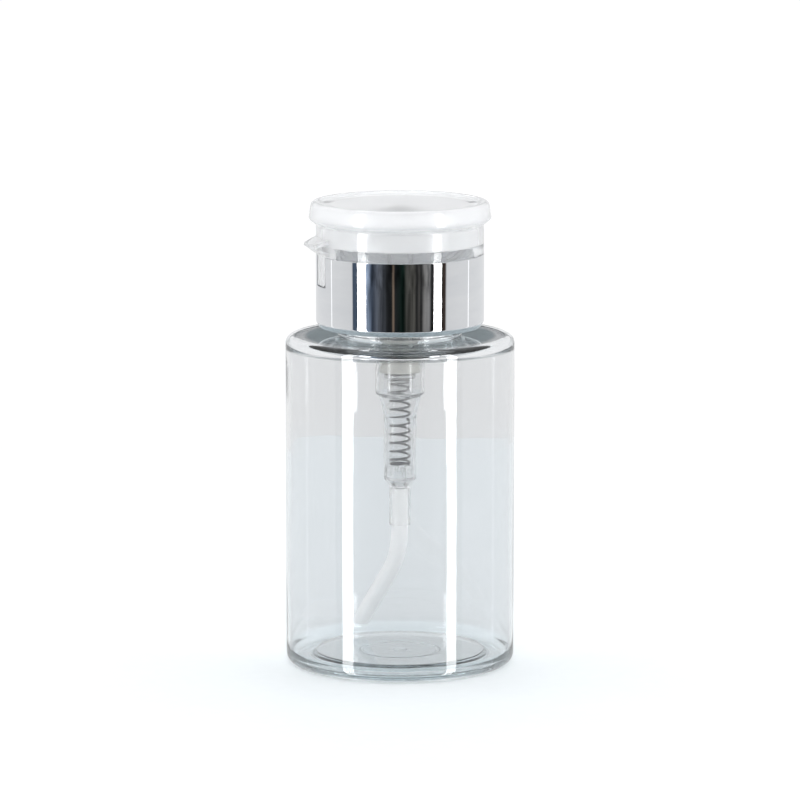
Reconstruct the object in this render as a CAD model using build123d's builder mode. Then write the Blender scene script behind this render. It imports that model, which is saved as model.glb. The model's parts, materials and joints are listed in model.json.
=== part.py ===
from build123d import *
import math
import os

# A push-down pump bottle. Millimetres, +Z up, origin at the centre of the bottle's base.
# The lid's living hinge is on the -X side and its axis runs along Y.

# Bottle
BOTTLE_R = 29.0
BOTTLE_WALL = 0.9
FLOOR = 1.8
PUSH_UP_R = 21.5
PUSH_UP_H = 1.4
HEEL_ROUND = 2.6
SHOULDER_Z = 84.2
SHOULDER_ROUND = 2.0
SHOULDER_WALL = 1.6
NECK_R = 15.1
NECK_BORE_R = 13.4
NECK_TOP_Z = 98.2
BEAD_R = 16.5

# Thread of a 33 mm neck, six turns to the inch
PITCH = 25.4 / 6
THREAD_H = 1.1
THREAD_ROOT = 0.2
NECK_THREAD_Z = 91.4
NECK_THREAD_TURNS = 1.25
CAP_THREAD_TURNS = 1.5

# Collar and closure
COLLAR_R = 21.25
COLLAR_WALL = 0.6
COLLAR_BOTTOM_Z = 86.6
COLLAR_TOP_Z = 105.1
CLOSURE_R = COLLAR_R - COLLAR_WALL
CLOSURE_BOTTOM_Z = 87.2
CLOSURE_WALL = 0.95
SCREW_BORE_R = 16.6
SCREW_WALL = 1.4
DECK_Z = 102.0
DECK = 1.3
RIM_TOP_Z = 108.0
WELL_R = 18.9
FLANGE_HOLE_R = 9.8

# Hinge
SLOT_WIDTH = 6.5
SLOT_BOTTOM_Z = 97.4
NOTCH_WIDTH = 15.5
HINGE_X = -24.0
HINGE_Z = 107.7
FLAP_WIDTH = 10.0
FILM_R = 0.22
FLAP_GAP = 0.3
TONGUE_WIDTH = 5.8
TONGUE_BOTTOM_Z = 101.3
TONGUE_SETBACK = 0.1
TONGUE_THICKNESS = 1.2
PLATE_BOTTOM_Z = 97.7
PLATE_THICKNESS = 0.45
BLOCK_TOP_Z = 107.7

# Lid
LID_R = 21.2
LIP_R = 23.1
LID_WALL = 1.1
LID_BOTTOM_Z = 108.15
LID_TOP_Z = 118.3
SEAL_RING_Z = 113.7
PLUG_R = 2.6
PLUG_BOTTOM_Z = 112.7

# Press dish
DISH_R = 18.4
DISH_RIM_Z = 112.6
DISH_SKIRT_Z = 107.2
DISH_WALL = 1.2
HUB_R = 5.0
HUB_BOTTOM_Z = 107.5
NOZZLE_R = 2.6
NOZZLE_BOTTOM_Z = 110.5
NOZZLE_H = 2.0

# Pump
STROKE = 5.0
BARREL_R = 6.2
BARREL_BORE_R = 5.4
LOWER_R = 4.1
LOWER_BORE_R = 3.3
FLANGE_R = 15.2
FLANGE_Z = 99.4
FLANGE = 1.2
TUBE_R = 2.1
TUBE_BORE_R = 1.4
SOCKET_R = 2.7
SOCKET_BOTTOM_Z = 35.4
SOCKET_TOP_Z = 44.9
BALL_R = 1.9
SEAT_HOLE_R = 1.3
SEAT_Z = 45.9
RIB_INNER_R = 1.2
VENT_Z = 81.0
STEM_R = 3.4
STEM_BORE_R = 2.2
STEM_BOTTOM_Z = 76.6
STEM_TOP_Z = 110.0

CUP_BOTTOM_Z = 69.2
CONE_R = 4.0
CONE_Z = 74.2
PISTON_R = BARREL_BORE_R - 0.05
PISTON_TOP_Z = 82.4
SHOULDER_STOP_Z = 83.0
CHAPLET_BOTTOM_Z = 84.6
CHAPLET_R = 9.5
GUIDE_R = STEM_R + 0.08
SEAL_POCKET_R = 5.2
SEAL_Z = 100.4

# Spring
SPRING_BOTTOM_Z = 50.5
SPRING_TOP_Z = 73.6
SPRING_R = 2.42
WIRE_R = 0.3
COILS = 10

# Dip tube: straight down from the socket, one bend, then straight to the corner of the base
TUBE_HEADING = 98.0
TUBE_BEND_R = 18.0
TUBE_LEAN = 46.0
TUBE_RUN = 25.1


def round_corners(section, radius, *corners):
    """Round the corners of a sketch that lie nearest the given (radius, height) points."""
    for corner in corners:
        fillet(section.vertices().sort_by_distance(corner)[0], radius)


def finish(piece, label):
    """Name a piece and write it to its own file."""
    piece.part.label = label
    export_step(piece.part, os.path.join("parts", label + ".step"))


os.makedirs("parts", exist_ok=True)

# Bottle: a thin shell with a pushed-up base, a flat shoulder and a threaded neck
inner_r = BOTTLE_R - BOTTLE_WALL
ceiling_z = SHOULDER_Z - SHOULDER_WALL
with BuildPart() as bottle:
    with BuildSketch(Plane.XZ) as section:
        with BuildLine():
            Polyline(
                (0, PUSH_UP_H),
                (PUSH_UP_R, PUSH_UP_H),
                (PUSH_UP_R + PUSH_UP_H, 0),
                (BOTTLE_R, 0),
                (BOTTLE_R, SHOULDER_Z),
                (NECK_R, SHOULDER_Z),
                (NECK_R, NECK_TOP_Z),
                (NECK_BORE_R, NECK_TOP_Z),
                (NECK_BORE_R, ceiling_z),
                (inner_r, ceiling_z),
                (inner_r, FLOOR),
                (PUSH_UP_R + PUSH_UP_H, FLOOR),
                (PUSH_UP_R, FLOOR + PUSH_UP_H),
                (0, FLOOR + PUSH_UP_H),
                close=True,
            )
        make_face()
        round_corners(section, HEEL_ROUND, (BOTTLE_R, 0), (inner_r, FLOOR))
        round_corners(section, SHOULDER_ROUND, (BOTTLE_R, SHOULDER_Z), (inner_r, ceiling_z))
        round_corners(section, 1.2, (NECK_R, SHOULDER_Z), (NECK_BORE_R, ceiling_z))
        round_corners(section, 0.8, (PUSH_UP_R, PUSH_UP_H), (PUSH_UP_R, FLOOR + PUSH_UP_H))
        round_corners(section, 0.4, (NECK_R, NECK_TOP_Z))
    revolve(axis=Axis.Z)
    # Bead under the thread
    with BuildSketch(Plane.XZ):
        with BuildLine():
            Polyline(
                (NECK_R - 0.4, SHOULDER_Z + 0.6),
                (BEAD_R, SHOULDER_Z + 1.1),
                (BEAD_R, SHOULDER_Z + 1.7),
                (NECK_R - 0.4, SHOULDER_Z + 2.6),
                close=True,
            )
        make_face()
    revolve(axis=Axis.Z)
    # Thread, rooted a little inside the neck's wall
    with BuildLine() as thread_path:
        Helix(PITCH, PITCH * NECK_THREAD_TURNS, NECK_R - THREAD_ROOT, center=(0, 0, NECK_THREAD_Z))
    with BuildSketch(Plane(thread_path.line @ 0, x_dir=(1, 0, 0), z_dir=thread_path.line % 0)):
        with BuildLine():
            Polyline(
                (0, -1.0),
                (THREAD_H + THREAD_ROOT, -0.45),
                (THREAD_H + THREAD_ROOT, 0.45),
                (0, 1.0),
                close=True,
            )
        make_face()
    sweep(path=thread_path.line, is_frenet=True)
    # Moulding ring and gate mark under the base
    with BuildSketch(Plane.XY.offset(PUSH_UP_H)):
        Circle(10.2)
        Circle(9.6, mode=Mode.SUBTRACT)
        Circle(1.6)
    extrude(amount=-0.35)
finish(bottle, "bottle")

# Gasket between the neck and the pump's flange
with BuildPart() as gasket:
    with BuildSketch(Plane.XY.offset(NECK_TOP_Z)):
        Circle(NECK_R)
        Circle(NECK_BORE_R - 0.5, mode=Mode.SUBTRACT)
    extrude(amount=FLANGE_Z - NECK_TOP_Z)
    chamfer(gasket.edges().filter_by(GeomType.CIRCLE), 0.15)
finish(gasket, "gasket")

# Pump housing: flange, wide barrel, taper, narrow barrel, ball seat and tube socket
flange_top_z = FLANGE_Z + FLANGE
with BuildPart() as housing:
    with BuildSketch(Plane.XZ) as section:
        with BuildLine():
            Polyline(
                (TUBE_R, SOCKET_BOTTOM_Z),
                (SOCKET_R, SOCKET_BOTTOM_Z),
                (SOCKET_R, 45.5),
                (LOWER_R, 47.3),
                (LOWER_R + 0.05, 63.5),
                (5.3, 68.5),
                (BARREL_R, 69.3),
                (BARREL_R, FLANGE_Z),
                (FLANGE_R, FLANGE_Z),
                (FLANGE_R, flange_top_z),
                (BARREL_BORE_R, flange_top_z),
                (BARREL_BORE_R, 69.6),
                (4.5, 68.9),
                (LOWER_BORE_R + 0.05, 63.0),
                (LOWER_BORE_R, 62.0),
                (LOWER_BORE_R, SEAT_Z + LOWER_BORE_R - SEAT_HOLE_R),
                (SEAT_HOLE_R, SEAT_Z),
                (SEAT_HOLE_R, SOCKET_TOP_Z),
                (TUBE_R, SOCKET_TOP_Z),
                close=True,
            )
        make_face()
        round_corners(section, 0.6, (BARREL_R, FLANGE_Z), (LOWER_R + 0.05, 63.5))
    revolve(axis=Axis.Z)
    # Snap ribs that carry the spring and keep the ball in its cage
    with Locations((0, 0, SPRING_BOTTOM_Z)):
        with PolarLocations((RIB_INNER_R + LOWER_BORE_R + 0.3) / 2, 4):
            Box(LOWER_BORE_R + 0.3 - RIB_INNER_R, 0.7, 0.9, align=(Align.CENTER, Align.CENTER, Align.MAX))
    # Air vent, covered by the piston's lips at rest
    with Locations(Plane((BARREL_R, 0, VENT_Z), z_dir=(1, 0, 0))):
        Hole(0.5, depth=1.2)
finish(housing, "housing")

# Dip tube: a straight run from the socket, one bend and a straight run with a slanted end
heading = Vector(math.cos(math.radians(TUBE_HEADING)), math.sin(math.radians(TUBE_HEADING)), 0)
bend_z = SOCKET_BOTTOM_Z
lean = math.radians(TUBE_LEAN)
bend_drop = TUBE_BEND_R * math.sin(lean)
bend_end = heading * (TUBE_BEND_R * (1 - math.cos(lean))) + Vector(0, 0, bend_z - bend_drop)
run_direction = heading * math.sin(lean) - Vector(0, 0, math.cos(lean))
tube_end = bend_end + run_direction * TUBE_RUN
with BuildPart() as dip_tube:
    with BuildLine() as tube_path:
        Line((0, 0, SOCKET_TOP_Z - 0.2), (0, 0, bend_z))
        TangentArc((0, 0, bend_z), bend_end, tangent=(0, 0, -1))
        Line(bend_end, tube_end)
    with BuildSketch(Plane.XY.offset(SOCKET_TOP_Z - 0.2)):
        Circle(TUBE_R)
        Circle(TUBE_BORE_R, mode=Mode.SUBTRACT)
    sweep(path=tube_path.line)
    # Slanted cut, level with the base
    with BuildSketch(Plane.XY.offset(tube_end.Z + 0.6)):
        with Locations((tube_end.X, tube_end.Y)):
            Circle(6)
    extrude(amount=-6, mode=Mode.SUBTRACT)
finish(dip_tube, "dip_tube")

# Check ball on its conical seat
seat_apex_z = SEAT_Z - SEAT_HOLE_R
with BuildPart() as inlet_ball:
    with Locations((0, 0, seat_apex_z + BALL_R * math.sqrt(2) + 0.02)):
        Sphere(BALL_R)
finish(inlet_ball, "inlet_ball")

# Compression spring: an open coil with a closed ring at each end
coil_h = SPRING_TOP_Z - SPRING_BOTTOM_Z - 2 * WIRE_R
with BuildPart() as spring:
    with BuildLine() as coil_path:
        Helix(coil_h / COILS, coil_h, SPRING_R, center=(0, 0, SPRING_BOTTOM_Z + WIRE_R))
    with BuildSketch(Plane(coil_path.line @ 0, x_dir=(1, 0, 0), z_dir=coil_path.line % 0)):
        Circle(WIRE_R)
    sweep(path=coil_path.line, is_frenet=True)
    with Locations((0, 0, SPRING_BOTTOM_Z + WIRE_R), (0, 0, SPRING_TOP_Z - WIRE_R)):
        Torus(SPRING_R, WIRE_R)
finish(spring, "spring")

# Poppet: spring cup below, sealing cone, and a cross-shaped rod that stands in the stem
with BuildPart() as poppet:
    with BuildSketch(Plane.XZ) as section:
        with BuildLine():
            Polyline(
                (0, SPRING_TOP_Z),
                (2.8, SPRING_TOP_Z),
                (2.8, CUP_BOTTOM_Z),
                (3.2, CUP_BOTTOM_Z),
                (3.2, SPRING_TOP_Z - 0.6),
                (CONE_R, SPRING_TOP_Z),
                (CONE_R, CONE_Z),
                (CONE_R - 1.2, CONE_Z + 1.2),
                (0, CONE_Z + 1.2),
                close=True,
            )
        make_face()
    revolve(axis=Axis.Z)
    with BuildSketch(Plane.XY.offset(CONE_Z + 1.2)):
        Rectangle(2 * STEM_BORE_R + 1, 1.2)
        Rectangle(1.2, 2 * STEM_BORE_R + 1)
        Circle(STEM_BORE_R, mode=Mode.INTERSECT)
    extrude(amount=12.6)
finish(poppet, "poppet")

# Piston: a sleeve on the stem with a flared lip at each end
with BuildPart() as piston:
    with BuildSketch(Plane.XZ) as section:
        with BuildLine():
            Polyline(
                (STEM_R + 0.08, 74.85),
                (4.1, 74.85),
                (4.4, 76.2),
                (4.75, 75.0),
                (PISTON_R, 75.0),
                (PISTON_R, 75.8),
                (4.95, 77.6),
                (4.6, 78.4),
                (4.6, 80.4),
                (4.95, 81.6),
                (PISTON_R, 83.0),
                (PISTON_R, 83.7),
                (4.85, 83.7),
                (4.4, PISTON_TOP_Z),
                (STEM_R + 0.08, PISTON_TOP_Z),
                close=True,
            )
        make_face()
    revolve(axis=Axis.Z)
finish(piston, "piston")

# Stem: a hollow tube with the shoulder that stops the piston below and the plunger above
with BuildPart() as stem:
    with BuildSketch(Plane.XZ) as section:
        with BuildLine():
            Polyline(
                (STEM_BORE_R, STEM_BOTTOM_Z),
                (STEM_R, STEM_BOTTOM_Z),
                (STEM_R, SHOULDER_STOP_Z),
                (4.2, SHOULDER_STOP_Z),
                (4.2, CHAPLET_BOTTOM_Z - 0.1),
                (STEM_R, CHAPLET_BOTTOM_Z - 0.1),
                (STEM_R, STEM_TOP_Z),
                (STEM_BORE_R, STEM_TOP_Z),
                close=True,
            )
        make_face()
        round_corners(section, 0.3, (STEM_R, STEM_TOP_Z), (STEM_R, STEM_BOTTOM_Z))
    revolve(axis=Axis.Z)
finish(stem, "stem")

# Chaplet: the guide that closes the housing, with a bearing for the stem at each end
chaplet_top_z = flange_top_z + 1.2
with BuildPart() as chaplet:
    with BuildSketch(Plane.XZ) as section:
        with BuildLine():
            Polyline(
                (GUIDE_R, CHAPLET_BOTTOM_Z),
                (BARREL_BORE_R, CHAPLET_BOTTOM_Z),
                (BARREL_BORE_R, flange_top_z),
                (CHAPLET_R, flange_top_z),
                (CHAPLET_R, chaplet_top_z),
                (SEAL_POCKET_R, chaplet_top_z),
                (SEAL_POCKET_R, SEAL_Z),
                (GUIDE_R, SEAL_Z),
                (GUIDE_R, SEAL_Z - 3.8),
                (GUIDE_R + 0.7, SEAL_Z - 4.5),
                (GUIDE_R + 0.7, CHAPLET_BOTTOM_Z + 4.1),
                (GUIDE_R, CHAPLET_BOTTOM_Z + 3.4),
                close=True,
            )
        make_face()
        round_corners(section, 0.3, (CHAPLET_R, chaplet_top_z))
    revolve(axis=Axis.Z)
    # Shallow channels that let air down to the vent
    with PolarLocations(BARREL_BORE_R, 4, start_angle=45):
        with Locations((0, 0, CHAPLET_BOTTOM_Z)):
            Box(0.8, 1.2, 14, align=(Align.CENTER, Align.CENTER, Align.MIN), mode=Mode.SUBTRACT)
finish(chaplet, "chaplet")

# Wiper seal around the stem, in the chaplet's pocket
with BuildPart() as wiper_seal:
    with BuildSketch(Plane.XZ) as section:
        with BuildLine():
            Polyline(
                (4.5, SEAL_Z),
                (SEAL_POCKET_R, SEAL_Z),
                (SEAL_POCKET_R, SEAL_Z + 1.7),
                (4.5, SEAL_Z + 1.7),
                (STEM_R + 0.05, SEAL_Z + 1.3),
                (STEM_R + 0.05, SEAL_Z + 0.9),
                (4.3, SEAL_Z + 0.9),
                close=True,
            )
        make_face()
    revolve(axis=Axis.Z)
finish(wiper_seal, "wiper_seal")

# Closure: double-walled screw cap, with a deck below its rim and a notch for the hinge
deck_under_z = DECK_Z - DECK
screw_outer_r = SCREW_BORE_R + SCREW_WALL
wall_inner_r = CLOSURE_R - CLOSURE_WALL
with BuildPart() as closure:
    with BuildSketch(Plane.XZ) as section:
        with BuildLine():
            Polyline(
                (FLANGE_HOLE_R, deck_under_z),
                (SCREW_BORE_R, deck_under_z),
                (SCREW_BORE_R, CLOSURE_BOTTOM_Z),
                (screw_outer_r, CLOSURE_BOTTOM_Z),
                (screw_outer_r, deck_under_z),
                (wall_inner_r, deck_under_z),
                (wall_inner_r, CLOSURE_BOTTOM_Z),
                (CLOSURE_R, CLOSURE_BOTTOM_Z),
                (CLOSURE_R, COLLAR_TOP_Z),
                (LID_R, COLLAR_TOP_Z),
                (LID_R, RIM_TOP_Z),
                (WELL_R, RIM_TOP_Z),
                (WELL_R, DECK_Z),
                (FLANGE_HOLE_R, DECK_Z),
                close=True,
            )
        make_face()
        round_corners(section, 0.35, (LID_R, RIM_TOP_Z), (WELL_R, RIM_TOP_Z))
        round_corners(section, 0.6, (WELL_R, DECK_Z))
    revolve(axis=Axis.Z)
    with BuildLine() as thread_path:
        Helix(
            PITCH,
            PITCH * CAP_THREAD_TURNS,
            SCREW_BORE_R + THREAD_ROOT,
            center=(0, 0, NECK_THREAD_Z - PITCH / 2),
        )
    with BuildSketch(Plane(thread_path.line @ 0, x_dir=(1, 0, 0), z_dir=thread_path.line % 0)):
        with BuildLine():
            Polyline(
                (0, -0.8),
                (-THREAD_H - THREAD_ROOT + 0.1, -0.4),
                (-THREAD_H - THREAD_ROOT + 0.1, 0.4),
                (0, 0.8),
                close=True,
            )
        make_face()
    sweep(path=thread_path.line, is_frenet=True)
    # Notch through the rim's outer part, and the pocket behind the collar's slot
    with BuildSketch(Plane.XY.offset(COLLAR_TOP_Z)):
        Circle(LID_R + 1)
        Circle(wall_inner_r, mode=Mode.SUBTRACT)
        with Locations((-LID_R, 0)):
            Rectangle(LID_R, NOTCH_WIDTH, mode=Mode.INTERSECT)
    extrude(amount=RIM_TOP_Z - COLLAR_TOP_Z, mode=Mode.SUBTRACT)
    with BuildSketch(Plane.XY.offset(SLOT_BOTTOM_Z)):
        Circle(LID_R + 1)
        Circle(wall_inner_r, mode=Mode.SUBTRACT)
        with Locations((-LID_R, 0)):
            Rectangle(LID_R, SLOT_WIDTH, mode=Mode.INTERSECT)
    extrude(amount=COLLAR_TOP_Z - SLOT_BOTTOM_Z, mode=Mode.SUBTRACT)
finish(closure, "closure")

# Collar shell: bright sleeve over the closure, turned in at the bottom and slotted at the hinge
with BuildPart() as collar_shell:
    with BuildSketch(Plane.XZ) as section:
        with BuildLine():
            Polyline(
                (CLOSURE_R - 0.8, COLLAR_BOTTOM_Z),
                (CLOSURE_R - 0.1, COLLAR_BOTTOM_Z),
                (COLLAR_R, COLLAR_BOTTOM_Z + 1.3),
                (COLLAR_R, COLLAR_TOP_Z),
                (CLOSURE_R, COLLAR_TOP_Z),
                (CLOSURE_R, CLOSURE_BOTTOM_Z),
                (CLOSURE_R - 0.8, CLOSURE_BOTTOM_Z),
                close=True,
            )
        make_face()
        round_corners(section, 0.6, (COLLAR_R, COLLAR_BOTTOM_Z + 1.3))
        round_corners(section, 0.15, (COLLAR_R, COLLAR_TOP_Z))
    revolve(axis=Axis.Z)
    with BuildSketch(Plane.XY.offset(SLOT_BOTTOM_Z)):
        with Locations((-COLLAR_R, 0)):
            Rectangle(4, SLOT_WIDTH)
    extrude(amount=COLLAR_TOP_Z - SLOT_BOTTOM_Z, mode=Mode.SUBTRACT)
finish(collar_shell, "collar_shell")

# Hinge strap: tongue in the slot with a thin plate below it, block in the notch, lower flap and film
tongue_inner_r = COLLAR_R - TONGUE_SETBACK - TONGUE_THICKNESS
with BuildPart() as hinge_strap:
    with BuildSketch(Plane.XY.offset(TONGUE_BOTTOM_Z)):
        Circle(COLLAR_R - TONGUE_SETBACK)
        Circle(tongue_inner_r, mode=Mode.SUBTRACT)
        with Locations((-COLLAR_R, 0)):
            Rectangle(4, TONGUE_WIDTH, mode=Mode.INTERSECT)
    extrude(amount=COLLAR_TOP_Z - TONGUE_BOTTOM_Z)
    with BuildSketch(Plane.XY.offset(PLATE_BOTTOM_Z)):
        Circle(tongue_inner_r + PLATE_THICKNESS)
        Circle(tongue_inner_r, mode=Mode.SUBTRACT)
        with Locations((-COLLAR_R, 0)):
            Rectangle(4, TONGUE_WIDTH, mode=Mode.INTERSECT)
    extrude(amount=TONGUE_BOTTOM_Z - PLATE_BOTTOM_Z)
    with BuildSketch(Plane.XY.offset(COLLAR_TOP_Z)):
        Circle(LID_R - 0.05)
        Circle(wall_inner_r + 0.1, mode=Mode.SUBTRACT)
        with Locations((-COLLAR_R, 0)):
            Rectangle(6, NOTCH_WIDTH - 1.0, mode=Mode.INTERSECT)
    extrude(amount=BLOCK_TOP_Z - COLLAR_TOP_Z)
    with BuildSketch(Plane.XZ):
        with BuildLine():
            Polyline(
                (-LID_R + 1.2, COLLAR_TOP_Z + 0.2),
                (HINGE_X + FILM_R, HINGE_Z - 0.2),
                (HINGE_X, HINGE_Z),
                (-LID_R + 1.2, COLLAR_TOP_Z + 1.5),
                close=True,
            )
        make_face()
    extrude(amount=FLAP_WIDTH / 2, both=True)
    with BuildSketch(Plane.XZ):
        with Locations((HINGE_X, HINGE_Z)):
            Circle(FILM_R)
    extrude(amount=FLAP_WIDTH / 2, both=True)
finish(hinge_strap, "hinge_strap")

# Lid: skirt, overhanging lip, dished top, seal ring and the socket of the plug
lid_under_z = LID_TOP_Z - 1.8
with BuildPart() as lid:
    with BuildSketch(Plane.XZ) as section:
        with BuildLine():
            Polyline(
                (0, LID_TOP_Z - 0.6),
                (19.2, LID_TOP_Z - 0.8),
                (20.4, LID_TOP_Z),
                (22.4, LID_TOP_Z),
                (LIP_R, 114.3),
                (22.8, 113.8),
                (LID_R, 112.5),
                (LID_R, LID_BOTTOM_Z),
                (LID_R - LID_WALL, LID_BOTTOM_Z),
                (LID_R - LID_WALL, 113.1),
                (21.7, 114.6),
                (21.4, lid_under_z),
                (0, lid_under_z),
                close=True,
            )
        make_face()
        round_corners(section, 1.3, (22.4, LID_TOP_Z))
        round_corners(section, 0.5, (20.4, LID_TOP_Z), (LIP_R, 114.3), (LID_R, 112.5))
    revolve(axis=Axis.Z)
    with BuildSketch(Plane.XY.offset(SEAL_RING_Z)):
        Circle(16.6)
        Circle(15.8, mode=Mode.SUBTRACT)
        Circle(PLUG_R + 0.9)
        Circle(PLUG_R, mode=Mode.SUBTRACT)
    extrude(amount=lid_under_z - SEAL_RING_Z + 0.2)
    # Upper flap of the hinge, which stops just short of the film
    with BuildSketch(Plane.XZ):
        with BuildLine():
            Polyline(
                (-LID_R + 0.6, HINGE_Z + 1.1),
                (HINGE_X + 0.3, HINGE_Z + 0.05),
                (HINGE_X, HINGE_Z + FLAP_GAP),
                (HINGE_X + 0.1, HINGE_Z + 0.5),
                (-LID_R + 0.6, HINGE_Z + 2.2),
                close=True,
            )
        make_face()
        with Locations((HINGE_X, HINGE_Z)):
            Circle(FLAP_GAP, mode=Mode.SUBTRACT)
    extrude(amount=FLAP_WIDTH / 2, both=True)
finish(lid, "lid")

# Lid plug: soft stopper that closes the outlet
with BuildPart() as lid_plug:
    with BuildSketch(Plane.XZ) as section:
        with BuildLine():
            Polyline(
                (0, PLUG_BOTTOM_Z),
                (3.2, PLUG_BOTTOM_Z),
                (3.9, SEAL_RING_Z - 0.4),
                (3.9, SEAL_RING_Z),
                (PLUG_R, SEAL_RING_Z),
                (PLUG_R, lid_under_z),
                (0, lid_under_z),
                close=True,
            )
        make_face()
    revolve(axis=Axis.Z)
finish(lid_plug, "lid_plug")

# Press dish: shallow bowl with a skirt, a hub for the stem and ribs under the bowl
with BuildPart() as dish:
    with BuildSketch(Plane.XZ) as section:
        with BuildLine():
            Polyline(
                (4.4, 110.9),
                (3.7, 111.9),
                (NOZZLE_R, 111.9),
                (NOZZLE_R, NOZZLE_BOTTOM_Z),
                (1.6, NOZZLE_BOTTOM_Z),
                (1.6, STEM_TOP_Z),
                (STEM_R, STEM_TOP_Z),
                (STEM_R, HUB_BOTTOM_Z),
                (HUB_R, HUB_BOTTOM_Z),
                (HUB_R, 109.7),
            )
            ThreePointArc((HUB_R, 109.7), (11.5, 109.9), (DISH_R - DISH_WALL, 110.9))
            Polyline(
                (DISH_R - DISH_WALL, 110.9),
                (DISH_R - DISH_WALL, DISH_SKIRT_Z),
                (DISH_R, DISH_SKIRT_Z),
                (DISH_R, DISH_RIM_Z),
                (DISH_R - 1.0, DISH_RIM_Z),
            )
            ThreePointArc((DISH_R - 1.0, DISH_RIM_Z), (11.5, 111.2), (4.4, 110.9))
        make_face()
        round_corners(section, 0.4, (DISH_R, DISH_RIM_Z), (DISH_R - 1.0, DISH_RIM_Z))
    revolve(axis=Axis.Z)
    with Locations((0, 0, 110.4)):
        with PolarLocations((HUB_R + DISH_R - DISH_WALL) / 2, 6, start_angle=30):
            Box(
                DISH_R - DISH_WALL - HUB_R + 0.4,
                0.8,
                1.8,
                align=(Align.CENTER, Align.CENTER, Align.MAX),
            )
finish(dish, "dish")

# Outlet nozzle: domed button with four small holes, pressed into the dish
with BuildPart() as outlet_nozzle:
    with BuildSketch(Plane.XY.offset(NOZZLE_BOTTOM_Z)):
        Circle(NOZZLE_R)
    extrude(amount=NOZZLE_H)
    fillet(outlet_nozzle.edges().sort_by(Axis.Z)[-1], 0.6)
    with BuildSketch(Plane.XY.offset(NOZZLE_BOTTOM_Z)):
        Circle(1.6)
    extrude(amount=NOZZLE_H - 0.8, mode=Mode.SUBTRACT)
    with BuildSketch(Plane.XY.offset(NOZZLE_BOTTOM_Z)):
        with PolarLocations(1.0, 4):
            Circle(0.3)
    extrude(amount=NOZZLE_H, mode=Mode.SUBTRACT)
finish(outlet_nozzle, "outlet_nozzle")
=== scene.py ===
import json
import math

import bmesh
import bpy
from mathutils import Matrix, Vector, noise


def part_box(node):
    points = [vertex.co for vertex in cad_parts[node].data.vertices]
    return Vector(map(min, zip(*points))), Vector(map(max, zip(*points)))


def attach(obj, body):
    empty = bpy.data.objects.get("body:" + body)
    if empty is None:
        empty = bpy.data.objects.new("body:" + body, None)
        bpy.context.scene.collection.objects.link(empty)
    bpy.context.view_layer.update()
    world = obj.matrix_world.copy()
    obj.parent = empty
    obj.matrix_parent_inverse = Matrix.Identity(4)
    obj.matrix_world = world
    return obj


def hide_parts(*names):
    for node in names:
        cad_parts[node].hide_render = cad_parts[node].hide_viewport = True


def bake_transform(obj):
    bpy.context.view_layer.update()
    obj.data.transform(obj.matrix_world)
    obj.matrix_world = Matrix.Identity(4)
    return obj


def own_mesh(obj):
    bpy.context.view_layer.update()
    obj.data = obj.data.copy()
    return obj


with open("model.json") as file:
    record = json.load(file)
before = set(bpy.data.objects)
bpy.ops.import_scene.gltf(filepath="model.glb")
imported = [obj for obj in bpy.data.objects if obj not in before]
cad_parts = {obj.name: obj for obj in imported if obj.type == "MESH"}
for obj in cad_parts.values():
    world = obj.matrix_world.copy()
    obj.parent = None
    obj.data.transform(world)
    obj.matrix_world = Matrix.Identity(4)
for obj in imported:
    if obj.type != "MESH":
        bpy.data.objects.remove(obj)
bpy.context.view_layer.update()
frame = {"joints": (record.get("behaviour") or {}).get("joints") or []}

MM = 0.001

# ---------------------------------------------------------------- sizes from the frame

BOTTLE_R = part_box("bottle")[1].x / MM
NECK_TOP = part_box("bottle")[1].z / MM
COLLAR_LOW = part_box("collar_shell")[0].z / MM
COLLAR_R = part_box("collar_shell")[1].x / MM
COLLAR_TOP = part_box("collar_shell")[1].z / MM
RIM_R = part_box("closure")[1].x / MM
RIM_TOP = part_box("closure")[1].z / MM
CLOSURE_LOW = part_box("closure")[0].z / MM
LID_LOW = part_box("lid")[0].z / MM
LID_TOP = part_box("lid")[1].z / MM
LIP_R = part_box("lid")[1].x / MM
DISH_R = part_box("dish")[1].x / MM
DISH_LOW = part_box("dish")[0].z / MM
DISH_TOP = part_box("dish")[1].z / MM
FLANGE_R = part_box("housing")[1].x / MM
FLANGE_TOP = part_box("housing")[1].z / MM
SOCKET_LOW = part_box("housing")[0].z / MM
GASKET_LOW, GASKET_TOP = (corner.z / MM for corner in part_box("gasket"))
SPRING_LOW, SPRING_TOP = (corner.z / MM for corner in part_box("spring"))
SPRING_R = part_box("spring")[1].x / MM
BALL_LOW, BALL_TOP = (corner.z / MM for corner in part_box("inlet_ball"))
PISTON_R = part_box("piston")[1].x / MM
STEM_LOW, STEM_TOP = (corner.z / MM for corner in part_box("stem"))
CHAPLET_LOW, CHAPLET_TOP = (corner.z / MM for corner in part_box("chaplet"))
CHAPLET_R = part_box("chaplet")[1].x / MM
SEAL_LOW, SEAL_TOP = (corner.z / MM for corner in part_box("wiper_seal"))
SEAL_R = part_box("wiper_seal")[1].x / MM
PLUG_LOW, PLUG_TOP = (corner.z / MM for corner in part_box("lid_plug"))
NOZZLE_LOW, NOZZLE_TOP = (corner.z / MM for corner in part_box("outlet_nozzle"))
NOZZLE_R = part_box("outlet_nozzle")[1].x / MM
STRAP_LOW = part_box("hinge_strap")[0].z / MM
joints = {joint["name"]: joint for joint in frame["joints"]}
HINGE = Vector(joints["lid_hinge"]["pos_m"]) / MM

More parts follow.
